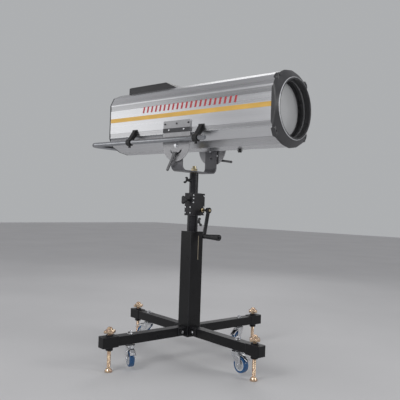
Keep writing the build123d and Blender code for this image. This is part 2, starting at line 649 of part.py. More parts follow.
nodes["upper_shell"] = lift(make_shell(True))
nodes["lower_shell"] = lift(make_shell(False))
nodes["front_ring"] = lift(make_front_ring())
nodes["head_screws"] = lift(make_head_screws())
nodes["lens_barrel"] = lift(make_lens_barrel())
nodes["front_lens"] = lift(make_front_lens())
nodes["bracket_right"] = lift(make_bracket(-1))
nodes["bracket_left"] = lift(make_bracket(1))
nodes["handle_bar"] = lift(make_handle_bar())
nodes["bar_clamps"] = lift(make_bar_clamps())
nodes["top_hood"] = lift(make_top_hood())
nodes["iris_lever"] = lift(make_iris_lever())
nodes["lens_carriage"] = lift(make_lens_carriage())
nodes["focus_knob"] = lift(make_focus_knob())
nodes["rear_cap"] = lift(make_rear_cap())
nodes["power_inlet"] = lift(make_power_inlet())
nodes["power_switch"] = lift(make_power_switch())
nodes["led_engine"] = lift(make_led_engine())
nodes["fan_rotor"] = lift(make_fan_rotor())

os.makedirs("parts", exist_ok=True)
for name, shape in nodes.items():
    export_step(shape, "parts/" + name + ".step")
print(len(nodes), "nodes written")
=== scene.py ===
import json
from math import atan2, cos, pi, radians, sin

import bmesh
import bpy
from mathutils import Matrix, Vector


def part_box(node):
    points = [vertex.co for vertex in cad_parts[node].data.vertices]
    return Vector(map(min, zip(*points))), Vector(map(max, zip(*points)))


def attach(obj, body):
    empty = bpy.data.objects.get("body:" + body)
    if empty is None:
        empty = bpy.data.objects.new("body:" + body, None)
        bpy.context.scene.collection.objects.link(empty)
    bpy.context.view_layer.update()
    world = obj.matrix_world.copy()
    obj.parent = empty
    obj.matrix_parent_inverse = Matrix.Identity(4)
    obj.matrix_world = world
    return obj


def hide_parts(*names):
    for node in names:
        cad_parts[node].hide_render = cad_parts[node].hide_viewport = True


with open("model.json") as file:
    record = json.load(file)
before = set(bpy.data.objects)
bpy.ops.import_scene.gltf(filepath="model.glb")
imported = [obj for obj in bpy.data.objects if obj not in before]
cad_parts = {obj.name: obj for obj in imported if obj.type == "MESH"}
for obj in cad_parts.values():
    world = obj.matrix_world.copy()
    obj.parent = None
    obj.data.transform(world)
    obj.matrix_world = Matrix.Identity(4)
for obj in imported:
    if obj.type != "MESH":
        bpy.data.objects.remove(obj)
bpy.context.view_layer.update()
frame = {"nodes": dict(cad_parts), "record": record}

# A follow spot on a wheeled wind-up stand, in metres. +X is where the head points, +Z is up,
# and the origin is on the floor under the mast. The sizes below repeat the CAD part's.
STAND_YAW = radians(-10)
JACK_R = 0.471
STAR_Z = 0.176
CASTER_R = 0.360
CASTER_TRAIL = 0.028
WHEEL_Z = 0.052
CRANK_Z = 0.756
CRANK_Y = 0.0345
CRANK_LENGTH = 0.134
CRANK_LEAN = radians(10.4)
HEAD_Z = 1.229
SHELL_BACK = -0.505
SHELL_FRONT = 0.556
HALF_W = 0.142
HALF_H = 0.173
LIP_X = 0.591
LIP_R = 0.138
LEG_ANGLES = {"front": 0, "left": 90, "rear": 180, "right": 270}
CASTER_YAWS = {"front": 0, "left": 200, "rear": 30, "right": 70}

nodes = frame["nodes"]
COLOUR_A, COLOUR_B, COLOUR_OUT = 6, 7, 2    # a Mix node's colour sockets


# ---- materials -------------------------------------------------------------------------
class Finish:
    """A procedural finish around one Principled shader, in the object's own coordinates."""

    def __init__(self, name, rough, metal=0.0, **fixed):
        self.material = bpy.data.materials.new(name)
        self.material.use_nodes = True
        self.tree = self.material.node_tree
        self.shader = self.tree.nodes["Principled BSDF"]
        self.shader.inputs["Metallic"].default_value = metal
        self.shader.inputs["Roughness"].default_value = rough
        for socket, value in fixed.items():
            self.shader.inputs[socket.replace("_", " ")].default_value = value
        self.rough = rough
        self.place = self.add("ShaderNodeTexCoord").outputs["Object"]
        self.normal = None

    def add(self, kind, **settings):
        """A new shader node with its settings."""
        node = self.tree.nodes.new(kind)
        for key, value in settings.items():
            setattr(node, key, value)
        return node

    def link(self, source, target):
        self.tree.links.new(source, target)

    def noise(self, scale, detail=3.0, stretch=(1, 1, 1)):
        """Noise in object space; a small stretch on an axis draws it out along that axis."""
        place = self.add("ShaderNodeMapping")
        place.inputs["Scale"].default_value = stretch
        self.link(self.place, place.inputs["Vector"])
        node = self.add("ShaderNodeTexNoise")
        node.inputs["Scale"].default_value = scale
        node.inputs["Detail"].default_value = detail
        self.link(place.outputs["Vector"], node.inputs["Vector"])
        return node.outputs["Fac"]

    def remap(self, value, low, high, to_low=0.0, to_high=1.0):
        """A value's range taken to another range, clamped."""
        node = self.add("ShaderNodeMapRange")
        for socket, number in zip(("From Min", "From Max", "To Min", "To Max"),
                                  (low, high, to_low, to_high)):
            node.inputs[socket].default_value = number
        self.link(value, node.inputs["Value"])
        return node.outputs["Result"]

    def mix(self, share, first, second):
        """Two colours, each a tuple or a socket, mixed by a share from 0 to 1."""
        node = self.add("ShaderNodeMix", data_type="RGBA")
        self.link(share, node.inputs["Factor"])
        for socket, value in ((node.inputs[COLOUR_A], first), (node.inputs[COLOUR_B], second)):
            if isinstance(value, tuple):
                socket.default_value = (*value, 1)
            else:
                self.link(value, socket)
        return node.outputs[COLOUR_OUT]

    def edges(self, width, sharp=0.9):
        """1 on the model's edges, 0 on its faces; also rounds how the edges catch the light."""
        bevel = self.add("ShaderNodeBevel", samples=6)
        bevel.inputs["Radius"].default_value = width
        true = self.add("ShaderNodeNewGeometry")
        dot = self.add("ShaderNodeVectorMath", operation="DOT_PRODUCT")
        self.link(bevel.outputs["Normal"], dot.inputs[0])
        self.link(true.outputs["Normal"], dot.inputs[1])
        self.normal = bevel.outputs["Normal"]
        return self.remap(dot.outputs["Value"], sharp, 0.999, 1.0, 0.0)

    def bump(self, height, distance, strength=1.0):
        """Relief of a height, its distance in metres, on top of any rounded edges."""
        node = self.add("ShaderNodeBump")
        node.inputs["Distance"].default_value = distance
        node.inputs["Strength"].default_value = strength
        self.link(height, node.inputs["Height"])
        if self.normal:
            self.link(self.normal, node.inputs["Normal"])
        self.normal = node.outputs["Normal"]

    def done(self, colour, rough_from=None, swing=0.08):
        """Joins colour, roughness and normal to the shader, and gives the material."""
        self.link(colour, self.shader.inputs["Base Color"])
        if rough_from:
            low, high = max(0.02, self.rough - swing), min(1.0, self.rough + swing)
            self.link(self.remap(rough_from, 0.3, 0.7, low, high), self.shader.inputs["Roughness"])
        if self.normal:
            self.link(self.normal, self.shader.inputs["Normal"])
        return self.material


def scaled(colour, factor):
    """A colour made lighter or darker."""
    return tuple(min(1.0, c * factor) for c in colour)


def paint(name, colour, rough, grain=0.00003, grain_scale=900, edge=1.9, edge_width=0.0012,
          mottle=0.14, metal=0.0, stretch=(1, 1, 1), swing=0.08, **fixed):
    """Powder coat, moulded plastic or plated metal: mottle, fine grain and a painted highlight
    along the edges.
    """
    f = Finish(name, rough, metal, **fixed)
    cloud = f.noise(22, 4, stretch)
    fine = f.noise(grain_scale, 2, stretch)
    base = f.mix(f.remap(cloud, 0.3, 0.7), scaled(colour, 1 - mottle), scaled(colour, 1 + mottle))
    # painted highlight: the edges are made lighter by the factor edge, over edge_width
    if edge:
        edge_highlight_mask = f.edges(edge_width)
        base = f.mix(edge_highlight_mask, base, scaled(colour, edge))
    f.bump(fine, grain)
    return f.done(base, cloud, swing)


def brushed(name, colour, rough, swing=0.05, lines=0.000015, grooves=()):
    """Satin extruded aluminium: draw lines along X, slow tone changes, painted shade in the ribbed
    grooves and a painted highlight along the edges.
    """
    f = Finish(name, rough, 1.0)
    lines_along = f.noise(800, 2, (0.006, 1, 1))
    bands = f.noise(34, 3, (0.012, 1, 1))
    slow = f.noise(2.2, 2, (1, 0.6, 0.6))
    tone = f.mix(f.remap(bands, 0.3, 0.7), scaled(colour, 0.94), scaled(colour, 1.04))
    tone = f.mix(f.remap(slow, 0.4, 0.75, 0.0, 0.3), tone, scaled(colour, 0.9))
    # painted shade: each groove's band of heights is darkened by its shade factor
    if grooves:
        height = f.add("ShaderNodeSeparateXYZ")
        f.link(f.place, height.inputs[0])
        for low, high, shade in grooves:
            middle = f.add("ShaderNodeMath", operation="SUBTRACT")
            f.link(height.outputs["Z"], middle.inputs[0])
            middle.inputs[1].default_value = HEAD_Z + (low + high) / 2
            away = f.add("ShaderNodeMath", operation="ABSOLUTE")
            f.link(middle.outputs[0], away.inputs[0])
            half = (high - low) / 2
            inside = f.remap(away.outputs[0], half, half - 0.001, 0.0, 1.0)
            tone = f.mix(inside, tone, scaled(colour, shade))
    # painted highlight: the edges are made lighter
    tone = f.mix(f.edges(0.0012), tone, scaled(colour, 1.2))
    f.bump(lines_along, lines, 0.35)
    return f.done(tone, bands, swing)


def plated(name, colour, second, rough, scale=60, swing=0.07):
    """Zinc or yellow-zinc plating: patches between two tints, with fine scratches."""
    f = Finish(name, rough, 1.0)
    patches = f.noise(scale, 5)
    scratch = f.noise(1500, 2, (1, 1, 0.1))
    tone = f.mix(f.remap(patches, 0.35, 0.65), colour, second)
    # painted highlight: the edges are made lighter
    tone = f.mix(f.edges(0.0006), tone, scaled(colour, 1.3))
    f.bump(scratch, 0.00001)
    return f.done(tone, patches, swing)


BLACK = (0.007, 0.007, 0.008)
mats = {
    "black_powder_coat": paint("black_powder_coat", BLACK, 0.34, edge=12, edge_width=0.0022,
                               grain=0.00005, grain_scale=700, Specular_IOR_Level=0.3),
    "black_casting": paint("black_casting", scaled(BLACK, 0.9), 0.42, grain=0.0001, grain_scale=420,
                           edge=12, edge_width=0.002, Specular_IOR_Level=0.3),
    "zinc": plated("zinc", (0.8, 0.81, 0.83), (0.62, 0.63, 0.65), 0.26),
    "gold_zinc": plated("gold_zinc", (0.78, 0.62, 0.42), (0.6, 0.4, 0.3), 0.24, 90),
    "mast_tube": paint("mast_tube", (0.015, 0.015, 0.018), 0.24, edge=8, grain=0.00002,
                       Specular_IOR_Level=0.4),
    "winch_casting": paint("winch_casting", (0.015, 0.0145, 0.017), 0.36, grain=0.00012,
                            grain_scale=500, edge=10, edge_width=0.0018, Specular_IOR_Level=0.35),
    "crank_brass": plated("crank_brass", (0.68, 0.58, 0.38), (0.54, 0.45, 0.3), 0.28),
    "crank_black": paint("crank_black", BLACK, 0.26, edge=14, edge_width=0.0012),
    "black_plastic": paint("black_plastic", (0.014, 0.014, 0.015), 0.4, grain=0.00006,
                           grain_scale=600, edge=6),
    "yoke_paint": paint("yoke_paint", (0.17, 0.17, 0.18), 0.38, edge=3.2, edge_width=0.0015,
                        grain=0.00008, grain_scale=480, metal=0.6),
    "yellow_zinc": plated("yellow_zinc", (0.62, 0.54, 0.34), (0.5, 0.42, 0.28), 0.26, 80),
    "retainer_grey": paint("retainer_grey", (0.2, 0.2, 0.205), 0.25, edge=0, metal=0.8),
    "lever_steel": paint("lever_steel", (0.16, 0.16, 0.165), 0.3, edge=4, edge_width=0.001,
                         metal=0.6),
    "slot_beige": paint("slot_beige", (0.55, 0.47, 0.34), 0.35, edge=0, metal=0.4, mottle=0.2),
    "strip_dark": paint("strip_dark", (0.05, 0.05, 0.055), 0.4, edge=5, edge_width=0.0008),
    # painted shade in the two grooves: each is a band of heights and its darkening factor
    "shell_aluminium": brushed("shell_aluminium", (0.7, 0.705, 0.72), 0.28,
                               grooves=((0.058, 0.084, 0.62), (-0.088, -0.068, 0.74))),
    "bracket_paint": paint("bracket_paint", (0.4, 0.4, 0.41), 0.34, edge=1.8, edge_width=0.0015,
                           grain=0.00005, grain_scale=650, metal=0.8),
    "ring_plastic": paint("ring_plastic", (0.052, 0.052, 0.056), 0.4, edge=0, grain=0.00008,
                          grain_scale=480, mottle=0.1),
    "barrel_black": paint("barrel_black", (0.026, 0.026, 0.028), 0.32, edge=5, grain=0.00004),
    "bar_chrome": plated("bar_chrome", (0.4, 0.41, 0.43), (0.36, 0.37, 0.39), 0.14, 30, 0.04),
    "hood_paint": paint("hood_paint", (0.03, 0.03, 0.032), 0.4, edge=7, edge_width=0.0016),
    "heat_sink": brushed("heat_sink", (0.6, 0.61, 0.62), 0.4),
    "switch_red": paint("switch_red", (0.5, 0.03, 0.02), 0.3, edge=1.5, Coat_Weight=0.5),
    "rubber_blue": paint("rubber_blue", (0.012, 0.09, 0.24), 0.2, edge=0, grain=0.00002,
                         Coat_Weight=0.4, Subsurface_Weight=0.25, Subsurface_Scale=0.004),
    "hub_white": paint("hub_white", (0.62, 0.64, 0.66), 0.3, edge=1.3, edge_width=0.0006),
    "stripe_yellow": paint("stripe_yellow", (0.82, 0.5, 0.11), 0.4, edge=0, grain=0.00001,
                           mottle=0.08, stretch=(0.3, 1, 1)),
    "accent_red": paint("accent_red", (0.5, 0.05, 0.06), 0.4, edge=0, grain=0.00001, mottle=0.1),
    # light grey for the lip bead: a painted highlight
    "lip_light": paint("lip_light", (0.62, 0.63, 0.65), 0.3, edge=0, mottle=0.06, metal=0.2),
}


def glass(name, colour, rough, clear):
    """Slightly hazy glass; clear is the share of light that passes."""
    f = Finish(name, rough, 0.0, Transmission_Weight=clear, IOR=1.5, Coat_Weight=0.6)
    haze = f.noise(9, 3)
    tone = f.mix(f.remap(haze, 0.3, 0.7), scaled(colour, 0.94), colour)
    f.bump(f.noise(60, 2), 0.00002)
    return f.done(tone, haze, 0.04)


mats["lens_glass"] = glass("lens_glass", (0.8, 0.81, 0.82), 0.22, 0.35)


def dress(node, material):
    """Gives a CAD node its finish."""
    o = nodes[node]
    if not o.material_slots:
        o.data.materials.append(mats[material])
    for place in o.material_slots:
        place.material = mats[material]


for row in frame["record"]["subparts"]:
    slot_name = row["material_slot"]
    if row["node"] in nodes and slot_name in mats:
        dress(row["node"], slot_name)
    elif slot_name == "caster_wheel":
        dress(row["node"], "rubber_blue")
for label in ("bracket_right", "bracket_left"):
    dress(label, "bracket_paint")
for label in ("tilt_lever_right", "tilt_lever_left"):
    dress(label, "lever_steel")


# ---- mesh helpers ----------------------------------------------------------------------
def piece(name, vertices, faces, material, body, place=Matrix.Identity(4), stands_for=(),
          round_edges=0.0, sharp=35, slot=None):
    """A mesh piece in the row frame that rides on a body."""
    mesh = bpy.data.meshes.new(name)
    mesh.from_pydata([place @ Vector(v) for v in vertices], [], faces)
    mesh.validate()
    o = bpy.data.objects.new(name, mesh)
    bpy.context.scene.collection.objects.link(o)
    mesh.materials.append(mats[material])
    mesh.polygons.foreach_set("use_smooth", [True] * len(mesh.polygons))
    mesh.set_sharp_from_angle(angle=radians(sharp))
    if round_edges:
        bevel = o.modifiers.new("edges", "BEVEL")
        bevel.width, bevel.segments, bevel.limit_method = round_edges, 3, "ANGLE"
        bevel.angle_limit = radians(30)
        bevel.harden_normals = True
    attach(o, body)
    if stands_for:
        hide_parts(*stands_for)
    return o


def fixed_normals(vertices, faces):
    """A closed mesh with doubled points merged and its faces turned outward."""
    bm = bmesh.new()
    made = [bm.verts.new(v) for v in vertices]
    for f in faces:
        try:
            bm.faces.new([made[i] for i in f])
        except ValueError:
            pass
    bmesh.ops.remove_doubles(bm, verts=bm.verts, dist=1e-7)
    bmesh.ops.recalc_face_normals(bm, faces=bm.faces)
    bm.verts.ensure_lookup_table()
    out = [tuple(v.co) for v in bm.verts], [[v.index for v in f.verts] for f in bm.faces]
    bm.free()
    return out


def lathe(profile, segments=48, wave=None):
    """Turns (radius, height) points about Z. wave(angle, radius) scales it, for lobed knobs."""
    vertices, faces = [], []
    for i in range(segments):
        a = 2 * pi * i / segments
        for r, z in profile:
            k = wave(a, r) if wave else 1.0
            vertices.append((r * k * cos(a), r * k * sin(a), z))
    n = len(profile)
    for i in range(segments):
        j = (i + 1) % segments
        for k in range(n):
            m = (k + 1) % n
            faces.append((i * n + k, j * n + k, j * n + m, i * n + m))
    return fixed_normals(vertices, faces)


def prism(outline, low, high):
    """An outline in XY between two heights."""
    n = len(outline)
    vertices = [(x, y, low) for x, y in outline] + [(x, y, high) for x, y in outline]
    faces = [tuple(range(n)), tuple(range(n, 2 * n))]
    faces += [(i, (i + 1) % n, (i + 1) % n + n, i + n) for i in range(n)]
    return fixed_normals(vertices, faces)


def joined(*parts):
    """Several meshes as one, each a pair of vertices and faces."""
    vertices, faces = [], []
    for vs, fs in parts:
        start = len(vertices)
        vertices += vs
        faces += [tuple(i + start for i in f) for f in fs]
    return vertices, faces


def moved(part, place):
    """A mesh put at a place."""
    return [tuple(place @ Vector(v)) for v in part[0]], part[1]


def at(x=0.0, y=0.0, z=0.0):
    return Matrix.Translation((x, y, z))


def turn(angle, axis="Z"):
    return Matrix.Rotation(angle, 4, axis)


ALONG_X = turn(pi / 2, "Y")
ALONG_Y = turn(-pi / 2, "X")
SWAP_YZ = Matrix(((1, 0, 0, 0), (0, 0, 1, 0), (0, 1, 0, 0), (0, 0, 0, 1)))


def rounded(points, radius, steps=4):
    """An outline with its corners rounded."""
    out = []
    n = len(points)
    for i in range(n):
        p, c, q = (Vector(points[(i + k) % n]) for k in (-1, 0, 1))
        a, b = (p - c), (q - c)
        r = min(radius, a.length * 0.45, b.length * 0.45)
        first, last = c + a.normalized() * r, c + b.normalized() * r
        for s in range(steps + 1):
            t = s / steps
            out.append(tuple(first * (1 - t) ** 2 + c * 2 * t * (1 - t) + last * t ** 2))
    return out


def soft_profile(points, radius=0.001, steps=3):
    """A lathe profile with its corners rounded."""
    return rounded(points, radius, steps)


def pin(radius, low, high, soft=0.0005, segments=20):
    """A plain round bar along Z."""
    return lathe(soft_profile([(0, low), (radius, low), (radius, high), (0, high)], soft), segments)


def sleeve(inner, outer, low, high, soft=0.0006, segments=48):
    """A washer or a short tube along Z."""
    return lathe(soft_profile([(inner, low), (outer, low), (outer, high), (inner, high)], soft),
                 segments)


def on_edge(outline, low, high):
    """A plate cut to an outline in X and Z, from one Y to another."""
    return fixed_normals(*moved(prism(outline, low, high), SWAP_YZ))


def side_plane(side, y):
    """Places a drawing in X and Y on the head's side: its Y runs up, its Z outward."""
    return head @ Matrix(((1, 0, 0, 0), (0, 0, side, side * y), (0, 1, 0, 0), (0, 0, 0, 1)))


def about_mast(angle):
    """A stand leg's direction: +X is outward along it."""
    return turn(STAND_YAW + radians(angle))


stand = turn(STAND_YAW)
head = at(z=HEAD_Z)


def lobes(count, depth, power=1.0, rim=0.026):
    """The wave of a lobed knob: round inside, its lobes growing towards the rim."""
    def wave(a, r):
        share = max(0.0, min(1.0, (r / rim - 0.55) / 0.3))
        return 1 - depth * share * (0.5 - 0.5 * cos(count * a)) ** power
    return wave


def hexagon(across, low, high):
    """A nut or bolt head; across is from its middle to a corner."""
    corners = [(across * cos(pi / 3 * k), across * sin(pi / 3 * k)) for k in range(6)]
    return prism(corners, low, high)


# ---- jacks -----------------------------------------------------------------------------
ROD_R = 0.009
THREAD_DEPTH = 0.0009
THREAD_PITCH = 0.003
ROD_BOTTOM = 0.0215
ROD_TOP = 0.206
STAR_BORE = 0.0088


def threaded(radius, depth, pitch, low, high, segments=28, rows=6):
    """A rod with a real helical thread, closed at both ends."""
    vertices, faces = [], []
    count = int((high - low) / pitch * rows)
    for k in range(count + 1):
        z = low + (high - low) * k / count
        for i in range(segments):
            a = 2 * pi * i / segments
            phase = (z / pitch - i / segments) % 1.0
            r = radius - depth * abs(2 * phase - 1)
            if k in (0, count):
                r = radius - depth * 1.6
            vertices.append((r * cos(a), r * sin(a), z))
    for k in range(count):
        for i in range(segments):
            j = (i + 1) % segments
            faces.append((k * segments + i, k * segments + j,
                          (k + 1) * segments + j, (k + 1) * segments + i))
    faces += [tuple(range(segments))[::-1], tuple(count * segments + i for i in range(segments))]
    return vertices, faces


def jack(name, place):
    """A threaded rod with its star handle, and the disc that swivels on the rod's ball end."""
    screw, foot = "jack_screw_" + name, "jack_foot_" + name
    ball = lathe(soft_profile([(0, 0.004), (0.004, 0.0045), (0.0066, 0.008), (0.0066, 0.013),
                               (0.005, 0.017), (0.0055, 0.024), (0, 0.024)], 0.001), 24)
    rod = joined(threaded(ROD_R, THREAD_DEPTH, THREAD_PITCH, ROD_BOTTOM, ROD_TOP), ball)
    piece("jack_rod_" + name, *rod, "gold_zinc", screw, place, (screw,), sharp=50)
    star = lathe(soft_profile([(STAR_BORE, -0.0005), (0.013, -0.0005), (0.0135, 0.003),
                               (0.03, 0.003), (0.0305, 0.0085), (0.03, 0.014), (0.015, 0.0175),
                               (0.0135, 0.026), (STAR_BORE, 0.026)], 0.0022, 4),
                 96, lobes(4, 0.36, 1.0))
    piece("jack_star_" + name, *star, "gold_zinc", screw, place @ at(z=STAR_Z))
    disc = lathe(soft_profile([(0, 0.0), (0.018, 0.0), (0.018, 0.0065), (0.0155, 0.0078),
                               (0.0115, 0.0158), (0.0078, 0.016), (0.0078, 0.009), (0, 0.002)],
                              0.0012, 3), 48)
    piece("jack_foot_pad_" + name, *disc, "gold_zinc", foot, place, (foot,))


for leg, leg_angle in LEG_ANGLES.items():
    jack(leg, about_mast(leg_angle) @ at(JACK_R))


# ---- casters ---------------------------------------------------------------------------
# A fork's own frame: Z up through the stem, and the wheel trails towards +X.
CHEEK_Y = 0.017          # middle of a fork cheek
CHEEK_HALF = 0.0014      # half its thickness
RIB_Y = 0.0187
RIB_HALF = 0.0006
NUT_FACE = 0.0184        # where an axle nut starts
NUT_TOP = 0.0224
AXLE_R = 0.0039
HINGE_X = 0.020          # the brake pedal's hinge pin
HINGE_Z = 0.0955
PEDAL_SHEET = 0.0016

CHEEK = [(-0.020, 0.1025), (0.026, 0.1025), (0.039, 0.086), (0.040, 0.047), (0.0345, 0.0425),
         (0.0215, 0.0425), (0.014, 0.052), (-0.018, 0.088)]
CHEEK_RIB = [(0.002, 0.094), (0.022, 0.094), (0.032, 0.084), (0.0315, 0.064), (0.0255, 0.064),
             (0.004, 0.086)]
TOP_PLATE = [(-0.020, -0.0165), (0.024, -0.0165), (0.024, 0.0165), (-0.020, 0.0165)]
RACE = [(0, 0.1005), (0.0215, 0.1005), (0.0235, 0.1025), (0.0235, 0.1062), (0.026, 0.1072),
        (0.026, 0.1098), (0.0225, 0.1112), (0, 0.1112)]
STEM = [(0, 0.1105), (0.006, 0.1105), (0.006, 0.1755), (0.0052, 0.1765), (0, 0.1765)]
PEDAL_LINE = [(0.0205, 0.0995), (0.034, 0.0985), (0.048, 0.0965), (0.062, 0.0895),
              (0.074, 0.0815), (0.0785, 0.0785)]
TREAD = [(0.0283, -0.0125), (0.033, -0.013), (0.0372, -0.0108), (0.0385, -0.006),
         (0.0385, -0.0016), (0.0379, -0.0008), (0.0379, 0.0008), (0.0385, 0.0016),
         (0.0385, 0.006), (0.0372, 0.0108), (0.033, 0.013), (0.0283, 0.0125)]
RIM = [(0.0235, -0.011), (0.0282, -0.0118), (0.0282, 0.0118), (0.0235, 0.011),
       (0.0225, 0.004), (0.0225, -0.004)]
CORE = [(0.0041, -0.0138), (0.0105, -0.0138), (0.0122, -0.006), (0.0228, -0.004),
        (0.0228, 0.004), (0.0122, 0.006), (0.0105, 0.0138), (0.0041, 0.0138)]
SPOKE = [(0.011, -0.0012), (0.0235, -0.0016), (0.0235, 0.0016), (0.011, 0.0012)]
SPOKES = 6


def fork():
    """A caster's fork: its turned race, stem and pins, then its pressed plate, cheeks and nuts."""
    turned = [lathe(soft_profile(RACE, 0.0009, 3), 56), lathe(soft_profile(STEM, 0.0006, 3), 28)]
    pressed = [prism(rounded(TOP_PLATE, 0.006), 0.1003, 0.1029)]
    for side in (-1, 1):
        cheek, rib, outward = side * CHEEK_Y, side * RIB_Y, turn(-side * pi / 2, "X")
        pressed.append(on_edge(rounded(CHEEK, 0.004), cheek - CHEEK_HALF, cheek + CHEEK_HALF))
        pressed.append(on_edge(rounded(CHEEK_RIB, 0.003), rib - RIB_HALF, rib + RIB_HALF))
        place = at(CASTER_TRAIL, 0, WHEEL_Z) @ outward
        pressed.append(moved(hexagon(0.0072, NUT_FACE, NUT_TOP), place))
        pressed.append(moved(pin(0.0038, 0.022, 0.0238), place))
    for r, half, x, z in ((AXLE_R, 0.019, CASTER_TRAIL, WHEEL_Z),
                          (0.0016, 0.0185, HINGE_X, HINGE_Z)):
        turned.append(moved(pin(r, -half, half, 0.0003), at(x, 0, z) @ turn(pi / 2, "X")))
    return joined(*turned), joined(*pressed)


def pedal():
    """The brake pedal's curved sheet, with two pressed ridges near its toe."""
    cuts, across, ridges = 40, 15, (27, 28, 33, 34)
    rows = []
    for k in range(cuts):
        t = k / (cuts - 1) * (len(PEDAL_LINE) - 1)
        i = min(int(t), len(PEDAL_LINE) - 2)
        start, end = PEDAL_LINE[i], PEDAL_LINE[i + 1]
        x, z = (start[j] + (end[j] - start[j]) * (t - i) for j in (0, 1))
        lift = 0.0009 if k in ridges else 0.0
        half = 0.0135 if x > 0.03 else 0.0105
        rows.append([(x, y, z - 0.0024 * (abs(y) / half) ** 4 + lift * (abs(y) < half * 0.8))
                     for y in [half * (j / 7 - 1) for j in range(across)]])
    vertices, faces = [p for row in rows for p in row], []
    for i in range(cuts - 1):
        for j in range(across - 1):
            a = i * across + j
            faces.append((a, a + 1, a + across + 1, a + across))
    return vertices, faces


def caster(name, base):
    """A swivel caster: fork, brake pedal and a ribbed wheel with a moulded tyre."""
    fork_body, brake, wheel = "caster_" + name, "caster_brake_" + name, "caster_wheel_" + name
    turned, pressed = fork()
    piece("fork_turned_" + name, *turned, "zinc", fork_body, base, ("caster_fork_" + name,))
    piece("fork_pressed_" + name, *pressed, "zinc", fork_body, base, round_edges=0.0006)
    plate = piece("brake_pedal_" + name, *pedal(), "zinc", brake, base, (brake,))
    thick = plate.modifiers.new("sheet", "SOLIDIFY")
    thick.thickness, thick.offset = PEDAL_SHEET, -1
    piece("brake_barrel_" + name, *sleeve(0.0019, 0.0034, -0.0105, 0.0105, 0.0004, 28), "zinc",
          brake, base @ at(HINGE_X, 0, HINGE_Z) @ turn(pi / 2, "X"))
    axle = base @ at(CASTER_TRAIL, 0, WHEEL_Z) @ ALONG_Y
    piece("wheel_tyre_" + name, *lathe(TREAD, 72), "rubber_blue", wheel, axle, (wheel,),
          slot="caster_wheel")
    rim = lathe(soft_profile(RIM, 0.0008, 3), 64)
    core = lathe(soft_profile(CORE, 0.0008, 3), 64)
    spokes = [moved(prism(SPOKE, -0.0095, 0.0095), turn(2 * pi * i / SPOKES))
              for i in range(SPOKES)]
    piece("wheel_hub_" + name, *joined(rim, core, *spokes), "hub_white", wheel, axle)


for leg, leg_angle in LEG_ANGLES.items():
    caster(leg, about_mast(leg_angle) @ at(CASTER_R) @ turn(radians(CASTER_YAWS[leg])))


# ---- mast: the crank's grip and the post's slot ----------------------------------------
GRIP_BORE = 0.00405
GRIP_WAVES = 10
GRIP_START = 0.096
WAVE_LENGTH = 0.0094


def crank_grip():
    """The rolling grip: a bulb that widens outward, with shallow finger waves."""
    profile = [(GRIP_BORE, 0.087), (0.009, 0.087), (0.0105, 0.0885), (0.0112, 0.092)]
    for i in range(GRIP_WAVES):
        x = GRIP_START + i * WAVE_LENGTH
        r = 0.0113 + 0.0044 * ((x - GRIP_START) / 0.09) ** 1.5
        profile += [(r, x), (r + 0.0003, x + 0.003), (r + 0.0001, x + 0.0062),
                    (r - 0.0007, x + 0.0078)]
    profile += [(0.0158, 0.193), (0.0152, 0.1975), (0.012, 0.2), (GRIP_BORE, 0.2)]
    return lathe(profile, 48)


crank = stand @ at(0, CRANK_Y, CRANK_Z) @ turn(-CRANK_LEAN, "X")
piece("crank_grip_roll", *crank_grip(), "black_plastic", "crank_grip",
      crank @ at(0, 0, -CRANK_LENGTH) @ ALONG_X, ("crank_grip",))

slot_outline = rounded([(-0.0021, 0.501), (0.0021, 0.501), (0.0021, 0.6235), (-0.0021, 0.6235)],
                       0.001)
post_face = Matrix(((0, 0, 1, 0.0378), (1, 0, 0, 0.0115), (0, 1, 0, 0), (0, 0, 0, 1)))
piece("slot_strip", *fixed_normals(*moved(prism(slot_outline, -0.0006, 0.0006),
                                          stand @ post_face)),
      "slot_beige", "stand", round_edges=0.0003, slot="gold_zinc")


# ---- yoke bolts ------------------------------------------------------------------------
YOKE_BASE = 0.949        # underside of the yoke's base
PIVOT_Z = 1.076          # tilt axis
PAN_SHANK = [(0, -0.062), (0.0095, -0.062), (0.01, -0.0605), (0.01, 0.034), (0, 0.034)]

pan = joined(lathe(soft_profile(PAN_SHANK, 0.0008), 40),
             sleeve(0.0101, 0.016, -0.0028, -0.0002),
             sleeve(0.0101, 0.019, 0.006, 0.008))
piece("pan_bolt", *pan, "yellow_zinc", "yoke", at(z=YOKE_BASE), ("yoke_bolts",), slot="gold_zinc")
piece("pan_nut", *hexagon(0.017, 0.0081, 0.022), "yellow_zinc", "yoke", at(z=YOKE_BASE),
      round_edges=0.0012, slot="gold_zinc")
for side, label in ((-1, "right"), (1, "left")):
    outward = at(0, 0, PIVOT_Z) @ turn(-side * pi / 2, "X")
    bolt = joined(pin(0.006, 0.123, 0.147, 0.0006, 32),
                  sleeve(0.0061, 0.0125, 0.1468, 0.1483, 0.0004, 40))
    piece("pivot_bolt_" + label, *bolt, "zinc", "yoke", outward)
    ends = joined(hexagon(0.0098, 0.1484, 0.1531), hexagon(0.0098, 0.1242, 0.1318))
    piece("pivot_head_" + label, *ends, "zinc", "yoke", outward, round_edges=0.0009)


# ---- hand screws -----------------------------------------------------------------------
STUD_R = 0.0038
WING_HALF = 0.0024       # half a wing's thickness


